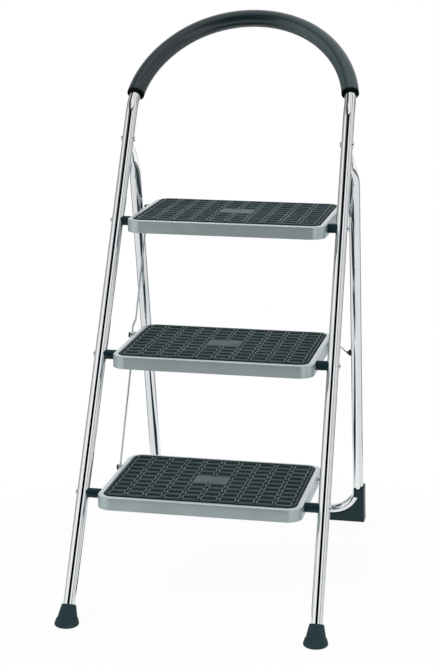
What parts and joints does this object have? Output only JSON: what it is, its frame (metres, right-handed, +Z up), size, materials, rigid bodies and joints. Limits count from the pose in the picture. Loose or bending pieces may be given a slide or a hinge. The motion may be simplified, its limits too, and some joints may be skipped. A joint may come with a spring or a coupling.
{
  "type": "folding step stool",
  "caption": "Folding step stool of chrome tube with a foam-gripped bow, ribbed rubber treads linked by wire rods, and a rear frame that swings in as the treads fold up.",
  "frame": {"origin": "on the floor, under the middle of the stance", "axes": "+Z up, the front of the stool towards -Y, +X to the right seen from the front"},
  "size_m": [0.4918, 0.709, 1.0513],
  "materials": {
    "chrome": "bright chrome plated steel",
    "steel": "plain zinc plated steel",
    "tread_paint": "satin silver-grey powder coat",
    "mat_rubber": "ribbed black rubber",
    "foot_rubber": "plain black rubber",
    "foam": "dark grey foam",
    "black_plastic": "moulded black plastic"
  },
  "bodies": {
    "front": {"front_frame": "chrome", "handle_grip": "foam", "front_foot_left": "foot_rubber", "front_foot_right": "foot_rubber", "axle_bottom": "steel", "axle_middle": "steel", "axle_top": "steel", "bush_bottom_left": "black_plastic", "bush_bottom_right": "black_plastic", "bush_middle_left": "black_plastic", "bush_middle_right": "black_plastic", "bush_top_left": "black_plastic", "bush_top_right": "black_plastic", "axle_caps_bottom": "black_plastic", "axle_caps_middle": "black_plastic", "axle_caps_top": "black_plastic", "pivot_rivet_left": "chrome", "pivot_rivet_right": "chrome"},
    "rear": {"rear_frame": "chrome", "corner_shoe_left": "black_plastic", "corner_shoe_right": "black_plastic", "stay_pin_left": "black_plastic", "stay_pin_right": "black_plastic"},
    "step_bottom": {"tread_bottom": "tread_paint", "mat_bottom": "mat_rubber", "studs_bottom": "steel", "stud_caps_bottom": "black_plastic"},
    "step_middle": {"tread_middle": "tread_paint", "mat_middle": "mat_rubber", "studs_middle": "steel", "stud_caps_middle": "black_plastic"},
    "step_top": {"tread_top": "tread_paint", "mat_top": "mat_rubber", "studs_top": "steel", "stud_caps_top": "black_plastic"},
    "tie_left": {"upper_tie_rod_left": "steel", "lower_tie_rod_left": "steel"},
    "stay_left": {"stay_link_left": "steel", "stay_plug_left": "black_plastic"},
    "tie_right": {"upper_tie_rod_right": "steel", "lower_tie_rod_right": "steel"},
    "stay_right": {"stay_link_right": "steel", "stay_plug_right": "black_plastic"}
  },
  "joints": [
    {"name": "rear_fold", "type": "hinge", "parent": "front", "child": "rear", "pos_m": [0, 0.07918, 0.819], "axis": [-1, 0, 0], "range_deg": [0, 41]},
    {"name": "bottom_step_fold", "type": "hinge", "parent": "front", "child": "step_bottom", "pos_m": [0, -0.22642, 0.214], "axis": [1, 0, 0], "range_deg": [0, 57.01]},
    {"name": "middle_step_fold", "type": "hinge", "parent": "front", "child": "step_middle", "pos_m": [0, -0.11024, 0.444], "axis": [1, 0, 0], "range_deg": [0, 57.01]},
    {"name": "top_step_fold", "type": "hinge", "parent": "front", "child": "step_top", "pos_m": [0, 0.00594, 0.674], "axis": [1, 0, 0], "range_deg": [0, 57.01]},
    {"name": "tie_left_turn", "type": "hinge", "parent": "step_middle", "child": "tie_left", "pos_m": [-0.19232, 0.04876, 0.444], "axis": [-1, 0, 0], "range_deg": [0, 57.01]},
    {"name": "stay_left_turn", "type": "hinge", "parent": "step_middle", "child": "stay_left", "pos_m": [-0.18791, 0.04876, 0.444], "axis": [-1, 0, 0], "range_deg": [0, 146.43]},
    {"name": "tie_right_turn", "type": "hinge", "parent": "step_middle", "child": "tie_right", "pos_m": [0.19232, 0.04876, 0.444], "axis": [-1, 0, 0], "range_deg": [0, 57.01]},
    {"name": "stay_right_turn", "type": "hinge", "parent": "step_middle", "child": "stay_right", "pos_m": [0.18791, 0.04876, 0.444], "axis": [-1, 0, 0], "range_deg": [0, 146.43]}
  ],
  "couplings": [
    {"joint": "bottom_step_fold", "follows": "rear_fold", "ratio": 1.3902},
    {"joint": "middle_step_fold", "follows": "rear_fold", "ratio": 1.3902},
    {"joint": "top_step_fold", "follows": "rear_fold", "ratio": 1.3902},
    {"joint": "tie_left_turn", "follows": "rear_fold", "ratio": 1.3902},
    {"joint": "stay_left_turn", "follows": "rear_fold", "ratio": 3.5702},
    {"joint": "tie_right_turn", "follows": "rear_fold", "ratio": 1.3902},
    {"joint": "stay_right_turn", "follows": "rear_fold", "ratio": 3.5702}
  ]
}
